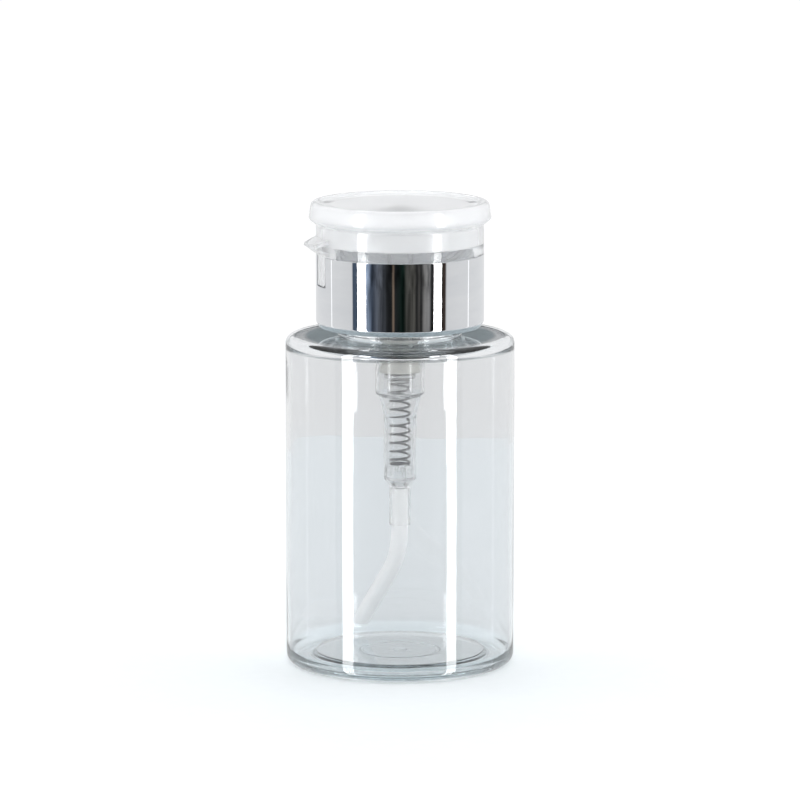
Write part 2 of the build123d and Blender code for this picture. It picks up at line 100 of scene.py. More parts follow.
# Sizes inside the pieces, in millimetres, from the CAD model
BOTTLE_WALL = 0.9
BOTTLE_FLOOR = 1.8
HEEL_ROUND = 2.6
PUSH_UP_R = 21.5
PUSH_UP_H = 1.4
SHOULDER_Z = 84.2
SHOULDER_WALL = 1.6
SHOULDER_ROUND = 2.0
NECK_R = 15.1
NECK_BORE_R = 13.4
PITCH = 25.4 / 6
NECK_THREAD_Z = 91.4
NECK_THREAD_TURNS = 1.25
CAP_THREAD_TURNS = 1.5
FLANGE = 1.2
BARREL_R = 6.2
BARREL_BORE_R = 5.4
LOWER_R = 4.1
LOWER_BORE_R = 3.3
SOCKET_R = 2.7
SOCKET_TOP = 44.9
SEAT_Z = 45.9
SEAT_HOLE_R = 1.3
TUBE_R = 2.1
TUBE_BORE_R = 1.4
TUBE_BEND_R = 18.0
TUBE_RUN = 25.1
WIRE_R = 0.3
STEM_R = 3.4
STEM_BORE_R = 2.2
STEM_COLLAR_R = 4.2
STEM_COLLAR_Z = 83.0
GUIDE_R = STEM_R + 0.08
CUP_LOW = 69.2
CONE_R = 4.0
CONE_TOP = 75.4
PISTON_LOW = 75.0
PISTON_TOP = 83.7
HUB_R = 5.0
HUB_LOW = 107.5
BOWL_Z = 110.85
BUTTON_SEAT_Z = 111.9
OUTLET_R = 1.6
CLOSURE_R = 20.65
WALL_INNER_R = 19.7
SCREW_BORE_R = 16.6
SCREW_OUTER_R = 18.0
CAP_HOLE_R = 9.8
DECK_Z = 102.0
WELL_R = 18.9
SLOT_WIDTH = 6.5
SLOT_LOW = 97.4
NOTCH_WIDTH = 15.5
TONGUE_WIDTH = 5.8
FLAP_WIDTH = 10.0
LIP_LOW = 114.3
LID_WALL = 1.1
LID_THICKNESS = 1.8
SEAL_RING_LOW = 113.7
SEAL_RING_R = 16.6
PLUG_R = 2.6

# The tube's direction about Z and its lean from the vertical, and the spring's turns with its closed ends
TUBE_HEADING = math.radians(98)
TUBE_LEAN = math.radians(46)
COIL_TURNS = 12.0

# ---------------------------------------------------------------- mesh helpers

CREASE = 32  # degrees between two faces from which their edge is drawn sharp
ON_AXIS = 1e-4  # millimetres from the axis at which a point counts as on it


def rounded(points, steps=5):
    """An outline from corners (r, z) or (r, z, round): each rounded corner becomes an arc."""
    made = []
    count = len(points)
    for i, corner in enumerate(points):
        radius = corner[2] if len(corner) > 2 else 0
        here = Vector(corner[:2])
        if radius <= 0:
            made.append(here)
            continue
        before = Vector(points[i - 1][:2]) - here
        after = Vector(points[(i + 1) % count][:2]) - here
        turn = before.angle(after)
        cut = radius / math.tan(turn / 2)
        inward = (before.normalized() + after.normalized()).normalized()
        centre = here + inward * radius / math.sin(turn / 2)
        first = here + before.normalized() * cut - centre
        last = here + after.normalized() * cut - centre
        sweep = first.angle_signed(last)
        for k in range(steps + 1):
            a = -sweep * k / steps
            spun = Vector((first.x * math.cos(a) - first.y * math.sin(a),
                           first.x * math.sin(a) + first.y * math.cos(a)))
            made.append(centre + spun)
    return made


def new_piece(name, verts, faces, sharp=CREASE):
    """A smooth-shaded mesh object with creases where its faces meet at more than sharp degrees."""
    mesh = bpy.data.meshes.new(name)
    mesh.from_pydata([(x * MM, y * MM, z * MM) for x, y, z in verts], [], faces)
    mesh.validate()
    mesh.shade_smooth()
    mesh.set_sharp_from_angle(angle=math.radians(sharp))
    made = bpy.data.objects.new(name, mesh)
    bpy.context.scene.collection.objects.link(made)
    return made


def lathe(name, outline, segments=240, waver=None):
    """Turns a closed (r, z) outline about Z. waver(r, z, angle) may move a point's radius a little."""
    verts, rings = [], []
    for r, z in outline:
        if r < ON_AXIS:
            rings.append([len(verts)])
            verts.append((0, 0, z))
            continue
        rings.append(list(range(len(verts), len(verts) + segments)))
        for k in range(segments):
            a = 2 * math.pi * k / segments
            at = r + (waver(r, z, a) if waver else 0)
            verts.append((at * math.cos(a), at * math.sin(a), z))
    faces = []
    for one, two in zip(rings, rings[1:] + rings[:1]):
        if len(one) == 1 and len(two) == 1:
            continue
        for k in range(segments):
            n = (k + 1) % segments
            if len(one) == 1:
                faces.append((one[0], two[k], two[n]))
            elif len(two) == 1:
                faces.append((one[k], two[0], one[n]))
            else:
                faces.append((one[k], two[k], two[n], one[n]))
    return outward(new_piece(name, verts, faces))


def outward(piece):
    """Turns a closed mesh's faces to look outward."""
    work = bmesh.new()
    work.from_mesh(piece.data)
    bmesh.ops.recalc_face_normals(work, faces=work.faces)
    work.to_mesh(piece.data)
    work.free()
    return piece


def join(name, *pieces):
    """Makes several mesh objects into one."""
    verts, faces, first = [], [], 0
    for piece in pieces:
        verts += [tuple(v.co / MM) for v in piece.data.vertices]
        faces += [tuple(first + i for i in p.vertices) for p in piece.data.polygons]
        first = len(verts)
        mesh = piece.data
        bpy.data.objects.remove(piece)
        bpy.data.meshes.remove(mesh)
    return new_piece(name, verts, faces)


def swept(name, path, profile):
    """Carries a closed profile of (side, up) points along a path that is nowhere upright."""
    verts, faces = [], []
    count = len(profile)
    for i, here in enumerate(path):
        ahead = path[min(i + 1, len(path) - 1)] - path[max(i - 1, 0)]
        ahead.normalize()
        side = ahead.cross(Vector((0, 0, 1))).normalized()
        top = side.cross(ahead)
        verts += [tuple(here + side * u + top * v) for u, v in profile]
    for i in range(len(path) - 1):
        for k in range(count):
            n = (k + 1) % count
            faces.append((i * count + k, i * count + n, (i + 1) * count + n, (i + 1) * count + k))
    faces.append(tuple(range(count)))
    faces.append(tuple(range((len(path) - 1) * count, len(path) * count)))
    return outward(new_piece(name, verts, faces))


def circle(radius, count):
    """Points of a circle, as (side, up) pairs."""
    angles = [2 * math.pi * k / count for k in range(count)]
    return [(radius * math.cos(a), radius * math.sin(a)) for a in angles]


def helix(radius, low, turns, pitch, per_turn=96):
    """Points of a right-handed helix about Z."""
    count = int(turns * per_turn)
    made = []
    for k in range(count + 1):
        a = 2 * math.pi * turns * k / count
        made.append(Vector((radius * math.cos(a), radius * math.sin(a), low + pitch * turns * k / count)))
    return made


def rib(section, half_width, angle):
    """A flat plate with an (r, z) outline, turned to an angle about Z."""
    along = Vector((math.cos(angle), math.sin(angle), 0))
    across = Vector((-math.sin(angle), math.cos(angle), 0))
    verts = [tuple(along * r + across * s + Vector((0, 0, z)))
             for s in (-half_width, half_width) for r, z in section]
    count = len(section)
    faces = [tuple(range(count)), tuple(range(count, 2 * count))]
    faces += [(i, (i + 1) % count, count + (i + 1) % count, count + i) for i in range(count)]
    return outward(new_piece("rib", verts, faces))


def divided(outline, longest):
    """The same closed outline with points added so that no side off the axis is longer than longest."""
    made = []
    for here, after in zip(outline, outline[1:] + outline[:1]):
        along_axis = here.x < ON_AXIS and after.x < ON_AXIS
        parts = 1 if along_axis else max(1, math.ceil((after - here).length / longest))
        made += [here.lerp(after, k / parts) for k in range(parts)]
    return made


def bar(name, outline, half_width, edge=0.12):
    """An (x, z) outline carried along Y, with its long edges eased at both ends."""
    centre = sum(outline, Vector((0, 0))) / len(outline)
    verts = []
    layers = [(-half_width, edge), (-half_width + edge, 0), (half_width - edge, 0), (half_width, edge)]
    for y, inset in layers:
        for p in outline:
            q = p - (p - centre).normalized() * inset
            verts.append((q.x, y, q.y))
    count = len(outline)
    faces = [tuple(range(count)), tuple(range(3 * count, 4 * count))]
    for layer in range(3):
        for k in range(count):
            n = (k + 1) % count
            a, b = layer * count, (layer + 1) * count
            faces.append((a + k, a + n, b + n, b + k))
    return outward(new_piece(name, verts, faces))


def curved_plate(name, inner_r, outer_r, half_width, low, high, round_r=0.0, columns=24):
    """A plate that follows the collar's curve on the -X side; round_r rounds its lower corners."""
    verts = []
    for k in range(columns + 1):
        y = -half_width + 2 * half_width * k / columns
        past = max(0.0, abs(y) - (half_width - round_r))
        foot = low + (round_r - math.sqrt(max(0.0, round_r ** 2 - past ** 2)) if round_r else 0)
        for radius, z in ((outer_r, foot), (outer_r, high), (inner_r, high), (inner_r, foot)):
            verts.append((-math.sqrt(radius ** 2 - y ** 2), y, z))
    faces = [(0, 1, 2, 3), tuple(4 * columns + i for i in range(4))]
    for k in range(columns):
        for i in range(4):
            n = (i + 1) % 4
            faces.append((4 * k + i, 4 * k + n, 4 * k + 4 + n, 4 * k + 4 + i))
    return outward(new_piece(name, verts, faces))


def cut_away(piece, *cutters):
    """Takes the cutters' solids out of a piece, and applies it."""
    for cutter in cutters:
        step = piece.modifiers.new("cut", "BOOLEAN")
        step.operation = "DIFFERENCE"
        step.solver = "EXACT"
        step.object = cutter
    bpy.context.view_layer.update()
    whole = bpy.data.meshes.new_from_object(piece.evaluated_get(bpy.context.evaluated_depsgraph_get()))
    piece.modifiers.clear()
    piece.data = whole
    piece.data.shade_smooth()
    piece.data.set_sharp_from_angle(angle=math.radians(CREASE))
    for cutter in cutters:
        bpy.data.objects.remove(cutter)
    return piece


def place(piece, body, slot, material, *nodes):
    """A finished piece: what it moves with, what it stands for and what it is made of."""
    # Clear plastic lets the light through to what it holds
    piece.visible_shadow = material not in (PET, CLEAR, FROSTED, NATURAL, TUBING, BALL)
    piece.data.materials.clear()
    piece.data.materials.append(material)
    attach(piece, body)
    if nodes:
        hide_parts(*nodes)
    return piece


# ---------------------------------------------------------------- materials


class Maker:
    """Builds one node material, with short calls for the nodes that several of them share."""

    def __init__(self, name, **shader):
        self.material = bpy.data.materials.new(name)
        self.material.use_nodes = True
        self.nodes = self.material.node_tree.nodes
        self.links = self.material.node_tree.links
        self.shader = self.nodes["Principled BSDF"]
        for socket, value in shader.items():
            self.shader.inputs[socket.replace("_", " ")].default_value = value
        self.place = self.nodes.new("ShaderNodeTexCoord").outputs["Object"]

    def stretched(self, x, y, z):
        """Object coordinates, scaled along each axis, in units of a metre."""
        node = self.nodes.new("ShaderNodeMapping")
        node.inputs["Scale"].default_value = (x, y, z)
        self.links.new(self.place, node.inputs["Vector"])
        return node.outputs["Vector"]

    def noise(self, where, scale, detail=3.0, rough=0.5):
        """A 0..1 noise pattern."""
        node = self.nodes.new("ShaderNodeTexNoise")
        node.inputs["Scale"].default_value = scale
        node.inputs["Detail"].default_value = detail
        node.inputs["Roughness"].default_value = rough
        self.links.new(where, node.inputs["Vector"])
        return node.outputs["Fac"]

    def between(self, value, low, high, start=0.3, end=0.7):
        """Maps a pattern's stretch from start to end onto low to high."""
        node = self.nodes.new("ShaderNodeMapRange")
        node.inputs["From Min"].default_value = start
        node.inputs["From Max"].default_value = end
        node.inputs["To Min"].default_value = low
        node.inputs["To Max"].default_value = high
        self.links.new(value, node.inputs["Value"])
        return node.outputs["Result"]

    def colours(self, value, *stops):
        """A colour ramp over a 0..1 pattern: stops are (position, (r, g, b))."""
        node = self.nodes.new("ShaderNodeValToRGB")
        ramp = node.color_ramp
        while len(ramp.elements) < len(stops):
            ramp.elements.new(0.5)
        for element, (position, colour) in zip(ramp.elements, stops):
            element.position = position
            element.color = (*colour, 1)
        self.links.new(value, node.inputs["Fac"])
        return node.outputs["Color"]

    def sum(self, one, two, share):
        """One pattern with a share of another added."""
        node = self.nodes.new("ShaderNodeMath")
        node.operation = "MULTIPLY_ADD"
        self.links.new(two, node.inputs[0])
        node.inputs[1].default_value = share
        self.links.new(one, node.inputs[2])
        return node.outputs[0]

    def bump(self, height, distance, strength, onto=None):
        """Relief from a pattern; distance is in metres."""
        node = self.nodes.new("ShaderNodeBump")
        node.inputs["Distance"].default_value = distance
        node.inputs["Strength"].default_value = strength
        self.links.new(height, node.inputs["Height"])
        if onto is not None:
            self.links.new(onto, node.inputs["Normal"])
        return node.outputs["Normal"]

    def feed(self, socket, value):
        self.links.new(value, self.shader.inputs[socket])

    def absorb(self, colour, density):
        """Tints the light with the depth of material that it crosses."""
        node = self.nodes.new("ShaderNodeVolumeAbsorption")
        node.inputs["Color"].default_value = (*colour, 1)
        node.inputs["Density"].default_value = density
        self.links.new(node.outputs["Volume"], self.nodes["Material Output"].inputs["Volume"])

    def ring(self, inner_r, outer_r, low, high):
        """1 in a band about Z between two radii and two heights in metres, with soft edges, else 0."""
        parts = self.nodes.new("ShaderNodeSeparateXYZ")
        self.links.new(self.place, parts.inputs[0])
        flat = self.nodes.new("ShaderNodeMapping")
        flat.inputs["Scale"].default_value = (1, 1, 0)
        self.links.new(self.place, flat.inputs["Vector"])
        length = self.nodes.new("ShaderNodeVectorMath")
        length.operation = "LENGTH"
        self.links.new(flat.outputs["Vector"], length.inputs[0])
        radius = length.outputs["Value"]
        soft = 0.0006
        steps = [self.between(radius, 0.0, 1.0, inner_r - soft, inner_r + soft),
                 self.between(radius, 1.0, 0.0, outer_r - soft, outer_r + soft),
                 self.between(parts.outputs[2], 0.0, 1.0, low - soft, low + soft),
                 self.between(parts.outputs[2], 1.0, 0.0, high - soft, high + soft)]
        whole = steps[0]
        for step in steps[1:]:
            both = self.nodes.new("ShaderNodeMath")
            both.operation = "MULTIPLY"
            self.links.new(whole, both.inputs[0])
            self.links.new(step, both.inputs[1])
            whole = both.outputs[0]
        return whole

    def scratches(self, scale, fineness):
        """Sparse hairlines: a stretched noise, kept only at its peaks."""
        lines = self.noise(self.stretched(scale, scale, scale * fineness), 1.0, 2.0)
        return self.between(lines, 0.0, 1.0, 0.62, 0.72)


def clear_bottle():
    """Blown polyester: clear, faintly blue in depth, with wall ripple and fine handling marks; its tint
    holds painted light on the base and painted shade on the shoulder.
    """
    m = Maker("clear_pet", Transmission_Weight=1.0, IOR=1.57)
    # Painted light and shade in the tint: the base is tinted lighter to lift the shadow under it, and the
    # shoulder under the collar darker as painted shade
    wall_tint, painted_light_base_tint, painted_shade_shoulder_tint = (0.843, 0.849, 0.855), (0.90, 0.935, 0.95), (0.37, 0.43, 0.45)
    shoulder_shade_mask = m.ring(NECK_R * MM, (BOTTLE_R - 5) * MM, (SHOULDER_Z - 2) * MM, (SHOULDER_Z + 0.5) * MM)
    off_base = m.between(m.ring(-MM, (BOTTLE_R + 1) * MM, -MM, 4.5 * MM), 0.5, 0.0, 0.0, 1.0)
    light_and_shade_zone = m.sum(off_base, shoulder_shade_mask, 0.5)
    m.feed("Base Color", m.colours(light_and_shade_zone, (0.0, painted_light_base_tint), (0.5, wall_tint), (1.0, painted_shade_shoulder_tint)))
    m.feed("Roughness", m.between(m.noise(m.place, 260, 4), 0.0, 0.016))
    ripple = m.bump(m.noise(m.stretched(30, 30, 12), 1.0, 2), 0.0006, 0.12)
    m.feed("Normal", m.bump(m.scratches(420, 0.12), 0.00001, 0.12, ripple))
    m.absorb((0.66, 0.84, 0.90), 12)
    return m.material


def clear_closure():
    """Clear moulded plastic with faint flow lines round it."""
    m = Maker("clear_pp", Base_Color=(0.97, 0.98, 0.99, 1), Transmission_Weight=0.86, IOR=1.5)
    m.feed("Roughness", m.between(m.noise(m.place, 60, 1), 0.01, 0.04, 0.1, 0.9))
    m.feed("Normal", m.bump(m.noise(m.stretched(60, 60, 500), 1.0, 2), 0.00002, 0.08))
    m.absorb((0.80, 0.87, 0.92), 8)
    return m.material


def frosted():
    """Milky moulded plastic, cloudier in the lip and top than in the skirt, with a smooth outside."""
    m = Maker("frosted_pp", IOR=1.49, Coat_Weight=1.0, Coat_Roughness=0.025)
    cloud = m.noise(m.place, 45, 1)
    m.feed("Base Color", m.colours(cloud, (0.1, (0.96, 0.963, 0.97)), (0.9, (0.985, 0.988, 0.992))))
    upper = m.ring(0, LIP_R * MM, (LIP_LOW - 0.9) * MM, (LID_TOP + 1) * MM)
    m.feed("Roughness", m.between(m.sum(upper, cloud, 0.15), 0.12, 0.42, 0.0, 1.1))
    m.feed("Transmission Weight", m.between(upper, 0.64, 0.5, 0.0, 1.0))
    flow = m.bump(m.noise(m.stretched(60, 60, 30), 1.0, 1), 0.00005, 0.02)
    m.feed("Normal", m.bump(m.noise(m.stretched(500, 500, 500), 1.0, 1), 0.000002, 0.05, flow))
    return m.material


def translucent(name, clearness, colour, roughness, painted_glow=0.0):
    """Natural plastic of the pump's mouldings, with fine grain; glow is painted light, an emission that
    brightens the piece as if lit from inside.
    """
    m = Maker(name, Transmission_Weight=clearness, IOR=1.49,
              Emission_Color=(*colour, 1), Emission_Strength=painted_glow)
    cloud = m.noise(m.place, 90, 1)
    m.feed("Base Color", m.colours(cloud, (0.1, tuple(c * 0.97 for c in colour)), (0.9, colour)))
    m.feed("Roughness", m.between(cloud, roughness * 0.8, roughness * 1.2, 0.1, 0.9))
    m.feed("Normal", m.bump(m.noise(m.stretched(300, 300, 100), 1.0, 1), 0.000005, 0.05))
    return m.material


def bright_collar():
    """Polished plated metal with hairline wipe marks round it and a few upright ones."""
    m = Maker("bright_metal", Metallic=1.0)
    haze = m.noise(m.stretched(60, 60, 240), 1.0, 5, 0.6)
    m.feed("Base Color", m.colours(haze, (0.3, (0.83, 0.84, 0.86)), (0.7, (0.90, 0.905, 0.915))))
    m.feed("Roughness", m.between(haze, 0.02, 0.055))
    drawn = m.bump(m.noise(m.stretched(500, 500, 6), 1.0, 3), 0.000012, 0.16)
    m.feed("Normal", m.bump(m.scratches(240, 6), 0.000006, 0.2, drawn))
    return m.material


def wire():
    """Drawn stainless wire."""
    m = Maker("spring_wire", Metallic=1.0)
    tone = m.noise(m.place, 900, 4)
    m.feed("Base Color", m.colours(tone, (0.3, (0.045, 0.045, 0.05)), (0.7, (0.12, 0.12, 0.13))))
    m.feed("Roughness", m.between(tone, 0.22, 0.42))
    m.feed("Normal", m.bump(m.noise(m.place, 4000, 2), 0.00001, 0.3))
    return m.material


def ball_glass():
    """Ground glass, a little uneven in polish."""
    m = Maker("ball_glass", Transmission_Weight=1.0, IOR=1.5)
    tone = m.noise(m.place, 600, 4)
    m.feed("Base Color", m.colours(tone, (0.3, (0.92, 0.94, 0.95)), (0.7, (0.96, 0.97, 0.98))))
    m.feed("Roughness", m.between(tone, 0.01, 0.08))
    return m.material


def soft(name, colour):
    """Soft seal material with a faint grain."""
    m = Maker(name, IOR=1.45)
    grain = m.noise(m.place, 1200, 4)
    m.feed("Base Color", m.colours(grain, (0.3, tuple(c * 0.92 for c in colour)), (0.7, colour)))
    m.feed("Roughness", m.between(grain, 0.5, 0.7))
    m.feed("Normal", m.bump(grain, 0.00003, 0.4))
    return m.material


PET = clear_bottle()
CLEAR = clear_closure()
FROSTED = frosted()
NATURAL = translucent("natural_pp", 0.92, (0.94, 0.945, 0.945), 0.05)
# The tube's glow is painted light that lifts its shaded side
TUBING = translucent("tube_pe", 0.2, (0.97, 0.975, 0.98), 0.4, 0.08)
PISTON = translucent("piston_pe", 0.35, (0.93, 0.92, 0.87), 0.35)
DISH = translucent("dish_pp", 0.7, (0.93, 0.94, 0.95), 0.16)
PLUG = translucent("plug_pe", 0.3, (0.93, 0.93, 0.92), 0.4)
CHROME = bright_collar()
WIRE = wire()
BALL = ball_glass()
SEAL = soft("seal_foam", (0.86, 0.86, 0.84))


# ---------------------------------------------------------------- bottle


def wall_waver(r, z, a):
    """The blown wall is a little uneven, most of all inside, which bends what is seen through it."""
    plain_end, inner_depth, outer_depth = 6, 0.06, 0.02
    if r < BOTTLE_R - 2 or z < plain_end or z > SHOULDER_Z - plain_end:
        return 0
    lump = noise.noise(Vector((math.cos(a) * 2.4, math.sin(a) * 2.4, z * 0.05)))
    return outer_depth * (lump - 1) if r > BOTTLE_R - 0.3 else inner_depth * lump


def make_bottle():
    """One closed shell: pushed-up base with its rings, heel, wall, shoulder and neck."""
    stand_r = PUSH_UP_R + PUSH_UP_H
    inner_r = BOTTLE_R - BOTTLE_WALL
    under_shoulder = SHOULDER_Z - SHOULDER_WALL
    return lathe("bottle_shell", divided(rounded([
        (0, 1.05),
        (1.6, 1.05, 0.1),
        (1.8, PUSH_UP_H, 0.1),
        (9.4, PUSH_UP_H, 0.1),
        (9.7, 1.1, 0.1),
        (10.1, 1.1, 0.1),
        (10.4, PUSH_UP_H, 0.1),
        (PUSH_UP_R, PUSH_UP_H, 0.8),
        (stand_r, 0, 0.3),
        (BOTTLE_R, 0, HEEL_ROUND),
        (BOTTLE_R, SHOULDER_Z, SHOULDER_ROUND),
        (NECK_R, SHOULDER_Z, 0.6),
        (NECK_R, SHOULDER_Z + 0.9, 0.1),
        (NECK_R + 1.4, SHOULDER_Z + 1.1, 0.2),
        (NECK_R + 1.4, SHOULDER_Z + 1.7, 0.2),
        (NECK_R, SHOULDER_Z + 2.4, 0.2),
        (NECK_R, NECK_TOP, 0.4),
        (NECK_BORE_R, NECK_TOP, 0.25),
        (NECK_BORE_R, under_shoulder, 1.2),
        (inner_r, under_shoulder, SHOULDER_ROUND),
        (inner_r, BOTTLE_FLOOR, HEEL_ROUND),
        (stand_r, BOTTLE_FLOOR, 0.6),
        (PUSH_UP_R, BOTTLE_FLOOR + PUSH_UP_H, 0.8),
        (0, BOTTLE_FLOOR + PUSH_UP_H),
    ], 8), 1.6), 288, wall_waver)


def make_thread(name, root_r, low, turns, height, half_root, half_crest, inward=False):
    """A raised thread that fades in and out over its first and last eighth of a turn."""
    path = helix(root_r, low, turns, PITCH)
    verts, faces = [], []
    for i, here in enumerate(path):
        out = Vector((here.x, here.y, 0)).normalized() * (-1 if inward else 1)
        turn = turns * i / (len(path) - 1)
        grow = min(1.0, 8 * turn, 8 * (turns - turn))
        for z, h in ((-half_root, 0), (-half_crest, height), (half_crest, height), (half_root, 0)):
            verts.append(tuple(here + out * (h * grow) + Vector((0, 0, z * max(grow, 0.05)))))
    for i in range(len(path) - 1):
        for k in range(4):
            n = (k + 1) % 4
            faces.append((4 * i + k, 4 * i + n, 4 * i + 4 + n, 4 * i + 4 + k))
    faces += [(0, 1, 2, 3), tuple(4 * (len(path) - 1) + k for k in range(4))]
    return outward(new_piece(name, verts, faces))


place(make_bottle(), "bottle", "clear_bottle", PET, "bottle")
place(make_thread("neck_thread", NECK_R + 0.02, NECK_THREAD_Z, NECK_THREAD_TURNS, 1.06, 0.95, 0.45),
      "bottle", "clear_bottle", PET)

# ---------------------------------------------------------------- pump


def make_housing():
    """Flange, wide barrel, taper, narrow barrel, ball seat and tube socket in one turned shell."""
    return lathe("pump_housing", divided(rounded([
        (TUBE_R + 0.06, SOCKET_LOW, 0.1),
        (SOCKET_R, SOCKET_LOW, 0.15),
        (SOCKET_R, 45.5, 0.3),
        (LOWER_R, 47.3, 0.3),
        (LOWER_R + 0.05, 63.5, 0.6),
        (5.3, 68.5, 0.3),
        (BARREL_R, 69.3, 0.3),
        (BARREL_R, FLANGE_TOP - FLANGE, 0.5),
        (FLANGE_R, FLANGE_TOP - FLANGE, 0.1),
        (FLANGE_R, FLANGE_TOP, 0.2),
        (BARREL_BORE_R, FLANGE_TOP, 0.2),
        (BARREL_BORE_R, 69.6, 0.2),
        (4.5, 68.9, 0.2),
        (LOWER_BORE_R + 0.05, 63.0, 0.3),
        (LOWER_BORE_R, 62.0),
        (LOWER_BORE_R, 47.9, 0.3),
        (SEAT_HOLE_R, SEAT_Z, 0.1),
        (SEAT_HOLE_R, SOCKET_TOP, 0.1),
        (TUBE_R + 0.06, SOCKET_TOP, 0.1),
    ]), 3.0), 144)


def make_ribs():
    """Four snap ribs that carry the spring and cage the ball."""
    root_r, top = LOWER_BORE_R + 0.05, 50.48
    section = [(1.2, 49.7), (1.35, 49.6), (2.2, 49.5), (2.3, 48.0), (root_r, 47.9), (root_r, top),
               (1.5, top), (1.2, 50.3)]
    return join("housing_ribs", *(rib(section, 0.32, math.pi / 2 * k) for k in range(4)))


def make_spring():
    """Open turns between a closed one at each end, where the pitch is small."""
    mean_r = SPRING_R - WIRE_R
    low, high = SPRING_LOW + WIRE_R, SPRING_TOP - WIRE_R
    count = 900
    closed, eased = 0.36, 0.6
    rise = []
    for k in range(count + 1):
        turn = COIL_TURNS * k / count
        past = min(turn, COIL_TURNS - turn) - 1
        rise.append(closed if past < 0 else 1.0 if past > eased else closed + (1 - closed) * past / eased)
    total = sum(rise[1:])
    path, z = [], low
    for k in range(count + 1):
        z += rise[k] / total * (high - low) if k else 0
        a = 2 * math.pi * COIL_TURNS * k / count
        path.append(Vector((mean_r * math.cos(a), mean_r * math.sin(a), z)))
    return swept("spring_coil", path, circle(WIRE_R, 16))


def make_dip_tube():
    """Hollow tube: straight out of the socket, one bend, then straight to the corner of the base."""
    heading = Vector((math.cos(TUBE_HEADING), math.sin(TUBE_HEADING), 0))
    top = SOCKET_TOP - 0.2
    path = [Vector((0, 0, top - (top - SOCKET_LOW) * k / 6)) for k in range(7)]
    for k in range(1, 25):
        a = TUBE_LEAN * k / 24
        drop = Vector((0, 0, SOCKET_LOW - TUBE_BEND_R * math.sin(a)))
        path.append(heading * TUBE_BEND_R * (1 - math.cos(a)) + drop)
    along = heading * math.sin(TUBE_LEAN) - Vector((0, 0, math.cos(TUBE_LEAN)))
    start = path[-1]
    path += [start + along * TUBE_RUN * k / 8 for k in (1, 2, 3, 4, 5, 6, 8)]
    return tube_along(path, Vector((0, 0, 1)).cross(heading), path[-1].z + 0.6)


def tube_along(path, side, end_level):
    """Outer and inner walls joined at both ends; the far end is cut level at end_level."""
    count = 48
    rings = len(path)
    verts, faces = [], []
    for radius in (TUBE_R, TUBE_BORE_R):
        for i, here in enumerate(path):
            ahead = (path[min(i + 1, rings - 1)] - path[max(i - 1, 0)]).normalized()
            top = side.cross(ahead)
            for k in range(count):
                a = 2 * math.pi * k / count
                p = here + side * radius * math.cos(a) + top * radius * math.sin(a)
                if i == rings - 1:
                    p += ahead * ((end_level - p.z) / ahead.z)
                verts.append(tuple(p))
    inner = rings * count
    for i in range(rings - 1):
        for k in range(count):
            n = (k + 1) % count
            a, b = i * count, (i + 1) * count
            faces.append((a + k, a + n, b + n, b + k))
            faces.append((inner + a + k, inner + a + n, inner + b + n, inner + b + k))
    for ring in (0, (rings - 1) * count):
        for k in range(count):
            n = (k + 1) % count
            faces.append((ring + k, ring + n, inner + ring + n, inner + ring + k))
    return outward(new_piece("suction_tube", verts, faces))


place(make_housing(), "pump", "natural_plastic", NATURAL, "housing")
place(make_ribs(), "pump", "natural_plastic", NATURAL)
place(make_dip_tube(), "pump", "tube_plastic", TUBING, "dip_tube")
coil = place(make_spring(), "pump", "spring_steel", WIRE, "spring")
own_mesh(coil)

place(lathe("neck_gasket", rounded([
    (NECK_R, GASKET_LOW, 0.15),
    (NECK_R, GASKET_TOP, 0.15),
    (NECK_BORE_R - 0.5, GASKET_TOP, 0.15),
    (NECK_BORE_R - 0.5, GASKET_LOW, 0.15),
]), 160), "pump", "soft_seal", SEAL, "gasket")

place(lathe("stem_guide", rounded([
    (GUIDE_R, CHAPLET_LOW, 0.1),
    (BARREL_BORE_R - 0.02, CHAPLET_LOW, 0.2),
    (BARREL_BORE_R - 0.02, FLANGE_TOP),
    (CHAPLET_R, FLANGE_TOP + 0.02, 0.1),
    (CHAPLET_R, CHAPLET_TOP, 0.3),
    (SEAL_R, CHAPLET_TOP, 0.1),
    (SEAL_R, SEAL_LOW),
    (GUIDE_R, SEAL_LOW),
    (GUIDE_R, SEAL_LOW - 3.8),
    (GUIDE_R + 0.7, SEAL_LOW - 4.5),
    (GUIDE_R + 0.7, CHAPLET_LOW + 4.1),
    (GUIDE_R, CHAPLET_LOW + 3.4),
]), 120), "pump", "natural_plastic", NATURAL, "chaplet")

place(lathe("stem_wiper", rounded([
    (4.5, SEAL_LOW + 0.02),
    (SEAL_R - 0.02, SEAL_LOW + 0.02, 0.1),
    (SEAL_R - 0.02, SEAL_TOP, 0.15),
    (4.5, SEAL_TOP, 0.1),
    (STEM_R + 0.05, SEAL_TOP - 0.4, 0.05),
    (STEM_R + 0.05, SEAL_TOP - 0.8, 0.05),
    (4.3, SEAL_LOW + 0.9, 0.1),
]), 120), "pump", "soft_seal", SEAL, "wiper_seal")

BALL_R = (BALL_TOP - BALL_LOW) / 2
place(lathe("check_ball", [
    Vector((BALL_R * math.sin(math.pi * k / 32), BALL_LOW + BALL_R * (1 - math.cos(math.pi * k / 32))))
    for k in range(33)
], 64), "inlet_ball", "glass_ball", BALL, "inlet_ball")

# ---------------------------------------------------------------- plunger and piston

place(lathe("piston_sleeve", rounded([
    (GUIDE_R, PISTON_LOW - 0.15, 0.05),
    (4.1, PISTON_LOW - 0.15, 0.1),
    (4.4, 76.2, 0.15),
    (4.75, PISTON_LOW, 0.08),
    (PISTON_R, PISTON_LOW, 0.08),
    (PISTON_R, 75.8, 0.2),
    (4.95, 77.6, 0.3),
    (4.6, 78.4, 0.3),
    (4.6, 80.4, 0.3),
    (4.95, 81.6, 0.3),
    (PISTON_R, 83.0, 0.2),
    (PISTON_R, PISTON_TOP, 0.08),
    (4.85, PISTON_TOP, 0.08),
    (4.4, 82.4, 0.15),
    (GUIDE_R, 82.4, 0.1),
]), 120), "piston", "piston_plastic", PISTON, "piston")

